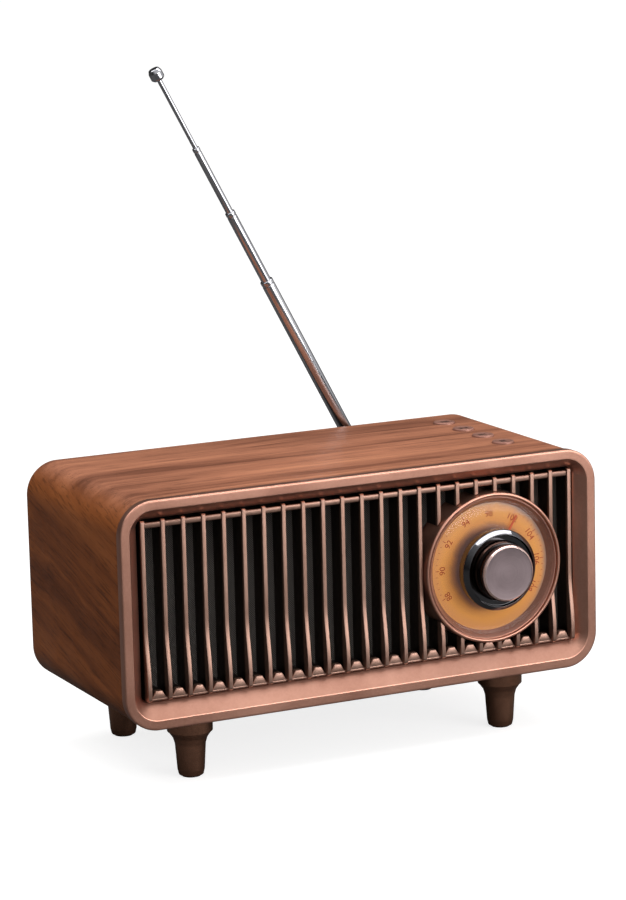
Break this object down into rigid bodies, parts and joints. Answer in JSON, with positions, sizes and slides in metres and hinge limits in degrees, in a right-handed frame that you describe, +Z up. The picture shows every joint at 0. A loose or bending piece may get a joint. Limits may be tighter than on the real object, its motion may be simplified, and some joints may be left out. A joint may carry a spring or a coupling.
{
  "type": "retro portable radio",
  "caption": "Retro portable radio: walnut cabinet with a copper frame, finned grille, round lit dial, top buttons, turned feet and a folding telescopic antenna.",
  "frame": {"origin": "centre of the radio's outline on the surface its feet stand on", "axes": "+X to the listener's right, -Y out of the dial towards the listener, +Z up"},
  "size_m": [0.21, 0.1216, 0.2726],
  "materials": {
    "walnut_wood": "satin lacquered walnut",
    "copper_paint": "satin rose copper",
    "grille_copper": "satin rose copper",
    "black_cloth": "woven",
    "black_plastic": "matte",
    "basket_steel": "satin black",
    "paper_cone": "matte pulp cone with rubber surround",
    "ferrite_magnet": "matte",
    "screw_steel": "satin",
    "black_screw": "black oxide",
    "clear_lens": "clear acrylic",
    "amber_scale": "translucent amber",
    "white_diffuser": "frosted",
    "circuit_board": "green solder mask",
    "lamp_white": "gloss",
    "encoder_metal": "satin",
    "shaft_brass": "turned",
    "black_chrome": "black chrome",
    "dark_bronze": "gloss dark bronze",
    "satin_cap": "satin bronze anodised",
    "red_pointer": "gloss",
    "button_bronze": "satin bronze",
    "foot_bronze": "satin dark bronze",
    "pad_rubber": "matte",
    "pine_block": "raw",
    "socket_steel": "bright",
    "chrome_tube": "polished",
    "cell_wrap": "shrink wrap"
  },
  "bodies": {
    "radio": {"cabinet_shell": "walnut_wood", "front_frame": "copper_paint", "grille": "grille_copper", "speaker_cloth": "black_cloth", "front_baffle": "black_plastic", "speaker_basket": "basket_steel", "speaker_cone": "paper_cone", "speaker_magnet": "ferrite_magnet", "speaker_screws": "screw_steel", "dial_bezel": "copper_paint", "dial_lens": "clear_lens", "dial_scale": "amber_scale", "dial_light_guide": "white_diffuser", "dial_light_board": "circuit_board", "dial_lamps": "lamp_white", "tuning_encoder": "encoder_metal", "encoder_nut": "screw_steel", "tact_switches": "black_plastic", "button_board": "circuit_board", "button_board_posts": "black_plastic", "button_board_screws": "screw_steel", "foot_front_left": "foot_bronze", "foot_front_right": "foot_bronze", "foot_rear_left": "foot_bronze", "foot_rear_right": "foot_bronze", "foot_pads": "pad_rubber", "foot_screws": "screw_steel", "corner_blocks": "pine_block", "back_cover": "black_plastic", "back_cover_screws": "black_screw", "main_board": "circuit_board", "board_posts": "black_plastic", "board_screws": "screw_steel", "usb_socket": "socket_steel", "aux_socket": "black_plastic", "card_slot": "socket_steel", "power_switch": "socket_steel", "battery_holder": "black_plastic", "battery_cell": "cell_wrap", "antenna_mount": "chrome_tube", "antenna_nut": "screw_steel"},
    "tuning_knob": {"tuning_shaft": "shaft_brass", "knob_skirt": "black_chrome", "knob_grip": "dark_bronze", "knob_cap": "satin_cap", "dial_pointer": "red_pointer"},
    "mode_key": {"mode_button": "button_bronze"},
    "previous_key": {"previous_button": "button_bronze"},
    "play_key": {"play_button": "button_bronze"},
    "next_key": {"next_button": "button_bronze"},
    "power_slide": {"power_slider": "black_plastic"},
    "antenna_base": {"antenna_swivel": "chrome_tube", "antenna_retainer": "screw_steel", "antenna_pin": "screw_steel"},
    "antenna_arm": {"antenna_elbow": "chrome_tube", "antenna_tube_base": "chrome_tube"},
    "antenna_stage_1": {"antenna_tube_middle": "chrome_tube"},
    "antenna_stage_2": {"antenna_tube_upper": "chrome_tube"},
    "antenna_stage_3": {"antenna_tip_rod": "chrome_tube"}
  },
  "joints": [
    {"name": "tuning_turn", "type": "hinge", "parent": "radio", "child": "tuning_knob", "pos_m": [0.0576, -0.04885, 0.0721], "axis": [0, 1, 0], "range_deg": [-178, 122]},
    {"name": "mode_press", "type": "slide", "parent": "radio", "child": "mode_key", "axis": [0, 0, -1], "range_m": [0, 0.0008], "stiffness_N_per_m": 400, "springref_m": -0.0003},
    {"name": "previous_press", "type": "slide", "parent": "radio", "child": "previous_key", "axis": [0, 0, -1], "range_m": [0, 0.0008], "stiffness_N_per_m": 400, "springref_m": -0.0003},
    {"name": "play_press", "type": "slide", "parent": "radio", "child": "play_key", "axis": [0, 0, -1], "range_m": [0, 0.0008], "stiffness_N_per_m": 400, "springref_m": -0.0003},
    {"name": "next_press", "type": "slide", "parent": "radio", "child": "next_key", "axis": [0, 0, -1], "range_m": [0, 0.0008], "stiffness_N_per_m": 400, "springref_m": -0.0003},
    {"name": "power_switch_slide", "type": "slide", "parent": "radio", "child": "power_slide", "axis": [1, 0, 0], "range_m": [0, 0.004]},
    {"name": "antenna_swivel_turn", "type": "hinge", "parent": "radio", "child": "antenna_base", "pos_m": [0.0574, 0.05765, 0.09], "axis": [0, 1, 0], "range_deg": [-62.1, 117.9]},
    {"name": "antenna_fold", "type": "hinge", "parent": "antenna_base", "child": "antenna_arm", "pos_m": [0.0574, 0.05765, 0.09], "axis": [-0.8838, 0, -0.4679], "range_deg": [0, 90]},
    {"name": "antenna_extend_1", "type": "slide", "parent": "antenna_arm", "child": "antenna_stage_1", "axis": [-0.4679, 0, 0.8838], "range_m": [-0.0319, 0.05]},
    {"name": "antenna_extend_2", "type": "slide", "parent": "antenna_stage_1", "child": "antenna_stage_2", "axis": [-0.4679, 0, 0.8838], "range_m": [-0.0292, 0.05]},
    {"name": "antenna_extend_3", "type": "slide", "parent": "antenna_stage_2", "child": "antenna_stage_3", "axis": [-0.4679, 0, 0.8838], "range_m": [-0.0306, 0.05]}
  ]
}
